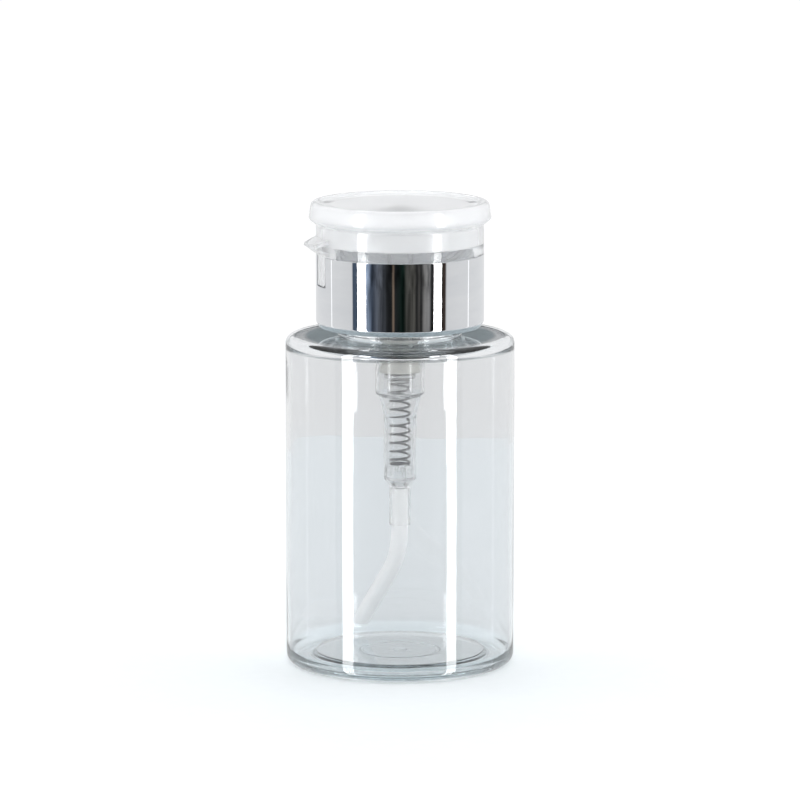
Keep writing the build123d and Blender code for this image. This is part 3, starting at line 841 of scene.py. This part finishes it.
place(lathe("stem_tube", divided(rounded([
    (STEM_BORE_R, STEM_LOW, 0.15),
    (STEM_R, STEM_LOW, 0.3),
    (STEM_R, STEM_COLLAR_Z, 0.1),
    (STEM_COLLAR_R, STEM_COLLAR_Z, 0.15),
    (STEM_COLLAR_R, CHAPLET_LOW - 0.1, 0.15),
    (STEM_R, CHAPLET_LOW - 0.1, 0.1),
    (STEM_R, STEM_TOP, 0.3),
    (STEM_BORE_R, STEM_TOP, 0.15),
]), 3.0), 96), "plunger", "natural_plastic", NATURAL, "stem")


def make_poppet():
    """Spring cup, sealing cone and a cross-shaped rod that leaves four flutes for the liquid."""
    body = lathe("poppet_body", rounded([
        (0, SPRING_TOP),
        (2.8, SPRING_TOP, 0.2),
        (2.8, CUP_LOW, 0.1),
        (3.2, CUP_LOW, 0.15),
        (3.2, SPRING_TOP - 0.6, 0.3),
        (CONE_R, SPRING_TOP, 0.1),
        (CONE_R, 74.2, 0.15),
        (2.8, CONE_TOP, 0.2),
        (0, CONE_TOP),
    ]), 96)
    arm, half = STEM_BORE_R - 0.06, 0.6
    cross = [(arm, -half), (arm, half), (half, half), (half, arm), (-half, arm), (-half, half),
             (-arm, half), (-arm, -half), (-half, -half), (-half, -arm), (half, -arm), (half, -half)]
    levels = ((CONE_TOP, 1.0), (87.4, 1.0), (88.0, 0.8))
    verts = [(x * s, y * s, z) for z, s in levels for x, y in cross]
    faces = [tuple(range(12)), tuple(range(24, 36))]
    for low in (0, 12):
        high = low + 12
        faces += [(low + k, low + (k + 1) % 12, high + (k + 1) % 12, high + k) for k in range(12)]
    return join("poppet_rod", body, outward(new_piece("rod", verts, faces)))


place(make_poppet(), "plunger", "natural_plastic", NATURAL, "poppet")


def bowl(r):
    """Height of the dish's upper surface at a radius."""
    rise, steepness = 1.75, 2.2
    return BOWL_Z + rise * max(0.0, (r - HUB_R) / (DISH_R - 1.0 - HUB_R)) ** steepness


def make_dish():
    """Shallow bowl with a skirt, a hub for the stem and a raised seat for the nozzle."""
    wall = 1.2
    top = [(r, bowl(r)) for r in (16.4, 14.5, 12.5, 10.5, 8.5, 6.5, HUB_R)]
    under = [(r, bowl(r) - wall) for r in (5.4, 8.0, 10.5, 13.0, 15.2)]
    return lathe("press_dish", rounded([
        *top,
        (4.4, BOWL_Z, 0.3),
        (3.7, BUTTON_SEAT_Z, 0.25),
        (NOZZLE_R + 0.02, BUTTON_SEAT_Z, 0.1),
        (NOZZLE_R + 0.02, NOZZLE_LOW),
        (OUTLET_R, NOZZLE_LOW),
        (OUTLET_R, STEM_TOP),
        (STEM_R + 0.02, STEM_TOP),
        (STEM_R + 0.02, HUB_LOW, 0.2),
        (HUB_R, HUB_LOW, 0.2),
        (HUB_R, 109.65, 0.4),
        *under,
        (DISH_R - wall, 110.9, 0.5),
        (DISH_R - wall, DISH_LOW, 0.2),
        (DISH_R, DISH_LOW, 0.2),
        (DISH_R, DISH_TOP, 0.45),
        (DISH_R - 1.1, DISH_TOP, 0.3),
    ]), 240)


def make_dish_ribs():
    """Six stiffening ribs from the hub to the skirt."""
    root_r, end_r, low = HUB_R + 0.1, DISH_R - 1.3, 108.8
    section = [(root_r, low), (end_r, low), (end_r, 110.4), (12.0, bowl(12.0) - 1.15), (root_r, 109.7)]
    return join("dish_ribs", *(rib(section, 0.4, math.radians(30 + 60 * k)) for k in range(6)))


def make_nozzle():
    """Domed button with four small outlet holes."""
    button = lathe("outlet_button", rounded([
        (0, NOZZLE_TOP - 0.8),
        (OUTLET_R, NOZZLE_TOP - 0.8, 0.2),
        (OUTLET_R, NOZZLE_LOW, 0.1),
        (NOZZLE_R, NOZZLE_LOW, 0.1),
        (NOZZLE_R, NOZZLE_TOP - 0.1, 0.5),
        (OUTLET_R, NOZZLE_TOP, 0.6),
        (0, NOZZLE_TOP),
    ]), 96)
    hole_r, low, high = 0.3, NOZZLE_TOP - 1.4, NOZZLE_TOP + 1
    drills = []
    for k in range(4):
        a = math.pi / 2 * k
        drill = lathe("drill", [Vector(p) for p in ((0, low), (hole_r, low), (hole_r, high), (0, high))], 24)
        drill.location = (math.cos(a) * MM, math.sin(a) * MM, 0)
        drills.append(drill)
    return cut_away(button, *drills)


place(make_dish(), "plunger", "dish_plastic", DISH, "dish")
place(make_dish_ribs(), "plunger", "dish_plastic", DISH)
place(make_nozzle(), "plunger", "dish_plastic", DISH, "outlet_nozzle")

# ---------------------------------------------------------------- closure, collar and hinge


def make_closure():
    """Double-walled screw cap with its deck, well and rim, and the hinge's notch and pocket."""
    under = DECK_Z - 1.3
    cap = lathe("closure_shell", divided(rounded([
        (CAP_HOLE_R, under, 0.2),
        (SCREW_BORE_R, under, 0.4),
        (SCREW_BORE_R, CLOSURE_LOW, 0.2),
        (SCREW_OUTER_R, CLOSURE_LOW, 0.2),
        (SCREW_OUTER_R, under, 0.4),
        (WALL_INNER_R, under, 0.4),
        (WALL_INNER_R, CLOSURE_LOW, 0.2),
        (CLOSURE_R - 0.03, CLOSURE_LOW + 0.03, 0.2),
        (CLOSURE_R - 0.03, COLLAR_TOP + 0.03),
        (RIM_R, COLLAR_TOP + 0.03, 0.12),
        (RIM_R, RIM_TOP, 0.35),
        (WELL_R, RIM_TOP, 0.35),
        (WELL_R, DECK_Z, 0.6),
        (CAP_HOLE_R, DECK_Z, 0.2),
    ]), 4.0), 288)
    notch = curved_plate("notch", WALL_INNER_R, RIM_R + 1.5, NOTCH_WIDTH / 2, COLLAR_TOP - 0.3, RIM_TOP + 1)
    pocket = curved_plate("pocket", WALL_INNER_R + 0.01, RIM_R + 1.0, SLOT_WIDTH / 2, SLOT_LOW, COLLAR_TOP)
    return cut_away(cap, notch, pocket)


def make_collar():
    """Bright sleeve, turned in at the bottom, with the hinge's slot let into its top edge."""
    section = rounded([
        (CLOSURE_R - 0.8, COLLAR_LOW, 0.1),
        (CLOSURE_R - 0.15, COLLAR_LOW, 0.25),
        (COLLAR_R, COLLAR_LOW + 1.3, 0.7),
        (COLLAR_R, SLOT_LOW),
        (COLLAR_R, COLLAR_TOP, 0.14),
        (CLOSURE_R, COLLAR_TOP, 0.14),
        (CLOSURE_R, SLOT_LOW),
        (CLOSURE_R, CLOSURE_LOW),
        (CLOSURE_R - 0.8, CLOSURE_LOW, 0.1),
    ], 6)
    slot_half = math.asin(SLOT_WIDTH / 2 / COLLAR_R)
    columns = 280
    angles = [math.pi + slot_half + (2 * math.pi - 2 * slot_half) * k / columns for k in range(columns)]
    angles += [math.pi - slot_half + 2 * slot_half * k / 12 for k in range(12)]
    count, wide = len(section), len(angles)
    verts = [(p.x * math.cos(a), p.x * math.sin(a), p.y) for a in angles for p in section]
    foot = [Vector((r, SLOT_LOW)) for r in (COLLAR_R, CLOSURE_R)]
    first, last = (next(i for i, p in enumerate(section) if (p - corner).length < 0.001) for corner in foot)
    faces = []
    for j in range(wide):
        n = (j + 1) % wide
        in_slot = j >= columns
        for i in range(count):
            k = (i + 1) % count
            if in_slot and first <= i < last:
                continue
            faces.append((j * count + i, j * count + k, n * count + k, n * count + i))
        if in_slot:
            faces.append((j * count + first, j * count + last, n * count + last, n * count + first))
    for j in (columns, 0):
        faces.append(tuple(j * count + i for i in range(first, last + 1)))
    return outward(new_piece("collar_sleeve", verts, faces, 30))


place(make_closure(), "cap", "clear_plastic", CLEAR, "closure")
place(make_thread("closure_thread", SCREW_BORE_R - 0.02, NECK_THREAD_Z - PITCH / 2, CAP_THREAD_TURNS,
                  0.95, 0.75, 0.4, inward=True), "cap", "clear_plastic", CLEAR)
place(make_collar(), "cap", "bright_collar", CHROME, "collar_shell")


def make_strap():
    """Tongue in the collar's slot, block in the rim's notch and the hinge's lower flap."""
    half = TONGUE_WIDTH / 2
    tongue = curved_plate("tongue", COLLAR_R - 1.3, COLLAR_R - 0.1, half, STRAP_LOW, COLLAR_TOP + 0.4, 1.2)
    recess = curved_plate("recess", WALL_INNER_R + 0.1, WALL_INNER_R + 0.45, half, SLOT_LOW + 0.3,
                          STRAP_LOW - 0.05)
    shelf = curved_plate("shelf", WALL_INNER_R + 0.1, RIM_R - 0.05, NOTCH_WIDTH / 2 - 0.5,
                         COLLAR_TOP + 0.08, RIM_TOP - 0.3)
    flap = bar("flap", rounded([
        (-RIM_R + 1.2, COLLAR_TOP + 0.25),
        (-RIM_R - 0.1, COLLAR_TOP + 0.5, 0.3),
        (HINGE.x + 0.2, HINGE.z - 0.25, 0.1),
        (HINGE.x + 0.05, HINGE.z - 0.05, 0.05),
        (-RIM_R + 0.2, COLLAR_TOP + 1.5, 0.3),
        (-RIM_R + 1.2, COLLAR_TOP + 1.6),
    ], 4), FLAP_WIDTH / 2)
    return join("hinge_anchor", tongue, shelf, flap, recess)


def make_film():
    """The hinge's thin fold, curved round its axis."""
    points = []
    for way, centre, reach, height in ((1, 0.42, 0.40, 0.36), (-1, 0.50, 0.30, 0.24)):
        for k in range(9):
            a = math.radians(way * (-75 + 150 * k / 8))
            points.append(Vector((HINGE.x + centre - reach * math.cos(a), HINGE.z + height * math.sin(a))))
    return bar("hinge_film", points, FLAP_WIDTH / 2 - 0.1, 0.02)


place(make_strap(), "cap", "frosted_plastic", FROSTED, "hinge_strap")
film = make_film()
film.data.materials.append(FROSTED)
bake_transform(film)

# ---------------------------------------------------------------- lid


def make_lid():
    """Skirt, overhanging lip, dished top with a raised edge, seal ring and plug socket."""
    under = LID_TOP - LID_THICKNESS
    return lathe("lid_shell", divided(rounded([
        (0, LID_TOP - 0.62),
        (17.5, LID_TOP - 0.72, 4.0),
        (19.6, LID_TOP - 0.55, 1.2),
        (20.6, LID_TOP, 0.7),
        (22.45, LID_TOP, 1.25),
        (LIP_R, LIP_LOW, 0.45),
        (22.7, 113.75, 0.4),
        (RIM_R, 112.5, 0.7),
        (RIM_R, LID_LOW, 0.25),
        (RIM_R - LID_WALL, LID_LOW, 0.25),
        (RIM_R - LID_WALL, 113.1, 0.5),
        (21.7, 114.6, 0.4),
        (21.4, under, 0.8),
        (SEAL_RING_R, under, 0.2),
        (SEAL_RING_R, SEAL_RING_LOW, 0.3),
        (SEAL_RING_R - 0.8, SEAL_RING_LOW, 0.3),
        (SEAL_RING_R - 0.8, under, 0.2),
        (PLUG_R + 0.9, under, 0.2),
        (PLUG_R + 0.9, SEAL_RING_LOW, 0.2),
        (PLUG_R + 0.02, SEAL_RING_LOW, 0.1),
        (PLUG_R + 0.02, under, 0.05),
        (0, under),
    ], 7), 3.0), 288)


def make_lid_flap():
    """The hinge's upper flap, rooted in the skirt."""
    return bar("lid_flap", rounded([
        (-RIM_R + 0.6, HINGE.z + 1.1),
        (-RIM_R - 0.2, HINGE.z + 0.95, 0.3),
        (HINGE.x + 0.3, HINGE.z + 0.12, 0.05),
        (HINGE.x + 0.05, HINGE.z + 0.32, 0.05),
        (HINGE.x + 0.2, HINGE.z + 0.6, 0.15),
        (-RIM_R - 0.3, HINGE.z + 1.75, 0.5),
        (-RIM_R + 0.6, HINGE.z + 2.15),
    ], 4), FLAP_WIDTH / 2)


place(make_lid(), "lid", "frosted_plastic", FROSTED, "lid")
place(make_lid_flap(), "lid", "frosted_plastic", FROSTED)
place(lathe("outlet_plug", rounded([
    (0, PLUG_LOW),
    (3.2, PLUG_LOW, 0.3),
    (3.9, PLUG_LOW + 0.6, 0.2),
    (3.9, SEAL_RING_LOW - 0.02, 0.1),
    (PLUG_R, SEAL_RING_LOW - 0.02),
    (PLUG_R, PLUG_TOP - 0.02, 0.2),
    (0, PLUG_TOP - 0.02),
]), 96), "lid", "plug_plastic", PLUG, "lid_plug")

# ---------------------------------------------------------------- floor, light and camera

VIEW_TURN = math.radians(19.6)
VIEW_TILT = math.radians(9.46)
CAMERA_DISTANCE = 1.3
CAMERA_HEIGHT = 0.284
LENS = 233.7
STRIP_HEIGHT = 1.6
STRIP_DISTANCE = 0.9
STRIP_MIDDLE = 0.1
FLOOR_R = 335
FLOOR_DEPTH = 6
TO_CAMERA = Vector((-math.sin(VIEW_TURN), -math.cos(VIEW_TURN), 0))
ACROSS = Vector((math.cos(VIEW_TURN), -math.sin(VIEW_TURN), 0))


def make_floor():
    """A pale round table top that goes only a little way back."""
    top = -0.01
    floor = lathe("floor", [Vector((0, top)), Vector((FLOOR_R, top)), Vector((FLOOR_R, -FLOOR_DEPTH)),
                            Vector((0, -FLOOR_DEPTH))], 128)
    m = Maker("pale_floor", Emission_Color=(0.97, 1.0, 1.0, 1), Emission_Strength=0.15)
    tone = m.noise(m.place, 40, 3)
    m.feed("Base Color", m.colours(tone, (0.3, (0.65, 0.68, 0.693)), (0.7, (0.66, 0.69, 0.703))))
    m.feed("Roughness", m.between(m.noise(m.place, 300, 3), 0.55, 0.7))
    floor.data.materials.append(m.material)
    floor.visible_glossy = False
    return floor


def make_world():
    """Pale all round to the eye, with a dark room on the camera's side for shiny parts to reflect."""
    world = bpy.data.worlds.new("studio")
    world.use_nodes = True
    nodes, links = world.node_tree.nodes, world.node_tree.links
    nodes.clear()

    def maths(operation, *values):
        node = nodes.new("ShaderNodeMath")
        node.operation = operation
        for socket, value in zip(node.inputs, values):
            if isinstance(value, (int, float)):
                socket.default_value = value
            else:
                links.new(value, socket)
        return node.outputs[0]

    def mixed(factor, one, two):
        node = nodes.new("ShaderNodeMix")
        node.data_type = "RGBA"
        links.new(factor, node.inputs[0])
        for socket, value in ((node.inputs[6], one), (node.inputs[7], two)):
            if isinstance(value, tuple):
                socket.default_value = (*value, 1)
            else:
                links.new(value, socket)
        return node.outputs[2]

    aim = nodes.new("ShaderNodeSeparateXYZ")
    aim_at = nodes.new("ShaderNodeTexCoord").outputs["Generated"]
    links.new(aim_at, aim.inputs[0])
    ahead, side = (maths("ADD", maths("MULTIPLY", aim.outputs[0], way.x),
                         maths("MULTIPLY", aim.outputs[1], way.y)) for way in (TO_CAMERA, ACROSS))
    turn = maths("ADD", maths("DIVIDE", maths("ARCTAN2", side, ahead), 2 * math.pi), 0.5)

    # What the shiny parts reflect, by degrees round from the camera's side: a dark room between pale walls
    dim, blue, wall = (0.012, 0.013, 0.014), (0.06, 0.085, 0.125), (0.68, 0.69, 0.70)
    stops = ((-180, (0.80, 0.81, 0.82)), (-90, (0.72, 0.73, 0.74)), (-69, wall), (-67.5, blue), (-58, blue),
             (-49, (0.34, 0.41, 0.52)), (-43, (0.26, 0.33, 0.45)), (-39, (0.03, 0.04, 0.06)),
             (-28, (0.10, 0.11, 0.13)), (-18, dim), (-11, dim), (-9, (0.16, 0.12, 0.09)), (-7, dim),
             (5, (0.004, 0.012, 0.009)), (9, (0.055, 0.055, 0.05)), (20, (0.07, 0.068, 0.062)), (23, dim),
             (26, (0.06, 0.058, 0.055)), (29, dim), (33, (0.14, 0.138, 0.135)), (41, (0.20, 0.20, 0.20)),
             (43, dim), (59, (0.02, 0.015, 0.012)), (65, (0.05, 0.035, 0.03)), (66.5, wall),
             (90, (0.72, 0.73, 0.74)), (180, (0.80, 0.81, 0.82)))
    ramp = nodes.new("ShaderNodeValToRGB")
    while len(ramp.color_ramp.elements) < len(stops):
        ramp.color_ramp.elements.new(0.5)
    for element, (degrees, colour) in zip(ramp.color_ramp.elements, stops):
        element.position = 0.5 + degrees / 360
        element.color = (*colour, 1)
    links.new(turn, ramp.inputs[0])

    # Uneven depth in the room
    grain = nodes.new("ShaderNodeTexNoise")
    grain.inputs["Scale"].default_value = 11.0
    grain.inputs["Detail"].default_value = 5.0
    links.new(aim_at, grain.inputs["Vector"])
    contrast, near, darkest = 3.0, 0.6, 0.2
    uneven = maths("MULTIPLY", maths("SUBTRACT", grain.outputs["Fac"], 0.5), contrast)
    depth = maths("ADD", maths("MULTIPLY", maths("GREATER_THAN", ahead, near), uneven), 1.0)
    shade = nodes.new("ShaderNodeVectorMath")
    shade.operation = "SCALE"
    links.new(ramp.outputs[0], shade.inputs[0])
    links.new(maths("MAXIMUM", depth, darkest), shade.inputs["Scale"])

    # A dark edge low on the far wall, which only the bottle's shoulder picks up
    edge_z, edge_half, far = 0.152, 0.013, -0.8
    off_edge = maths("ABSOLUTE", maths("SUBTRACT", aim.outputs[2], edge_z))
    band = maths("MULTIPLY", maths("LESS_THAN", off_edge, edge_half), maths("LESS_THAN", ahead, far))
    studio = mixed(band, shade.outputs[0], (0.02, 0.025, 0.03))

    # Reflections see the studio, the eye sees the plain backdrop even through plastic, and the fill lights
    backdrop, fill = (1.02, 1.02, 1.025), (1.45, 1.46, 1.48)
    paths = nodes.new("ShaderNodeLightPath")
    seen = maths("MAXIMUM", paths.outputs["Is Camera Ray"], paths.outputs["Is Transmission Ray"])
    tint = mixed(paths.outputs["Is Diffuse Ray"], mixed(seen, studio, backdrop), fill)
    light = nodes.new("ShaderNodeBackground")
    links.new(tint, light.inputs["Color"])
    links.new(light.outputs[0], nodes.new("ShaderNodeOutputWorld").inputs["Surface"])
    return world


def make_strip(name, degrees, wide, power):
    """An upright strip light that faces the object; degrees are counted from the camera's side."""
    lamp = bpy.data.lights.new(name, "AREA")
    lamp.shape = "RECTANGLE"
    lamp.size = wide
    lamp.size_y = STRIP_HEIGHT
    lamp.energy = power
    made = bpy.data.objects.new(name, lamp)
    bpy.context.scene.collection.objects.link(made)
    turn = math.radians(degrees)
    away = TO_CAMERA * math.cos(turn) + ACROSS * math.sin(turn)
    made.location = away * STRIP_DISTANCE + Vector((0, 0, STRIP_MIDDLE))
    made.rotation_euler = (-away).to_track_quat("-Z", "Y").to_euler()
    made.visible_camera = False
    made.visible_diffuse = False


def make_camera():
    """A long lens a little above the object, as in the photograph."""
    camera = bpy.data.objects.new("camera", bpy.data.cameras.new("camera"))
    bpy.context.scene.collection.objects.link(camera)
    camera.location = TO_CAMERA * CAMERA_DISTANCE + Vector((0, 0, CAMERA_HEIGHT))
    camera.rotation_euler = (math.pi / 2 - VIEW_TILT, 0, -VIEW_TURN)
    camera.data.lens = LENS
    camera.data.clip_start = 0.05
    return camera


scene = bpy.context.scene
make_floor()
scene.world = make_world()
make_strip("strip_left", -53.4, 0.19, 8)
make_strip("strip_right", 52.5, 0.17, 8)
make_strip("edge_left", -107, 0.03, 0.08)
make_strip("edge_right", 107, 0.03, 0.08)
scene.camera = make_camera()
scene.view_settings.view_transform = "Standard"
scene.cycles.max_bounces = 48
scene.cycles.transmission_bounces = 48
scene.cycles.glossy_bounces = 12
scene.cycles.diffuse_bounces = 4
scene.cycles.sample_clamp_indirect = 6
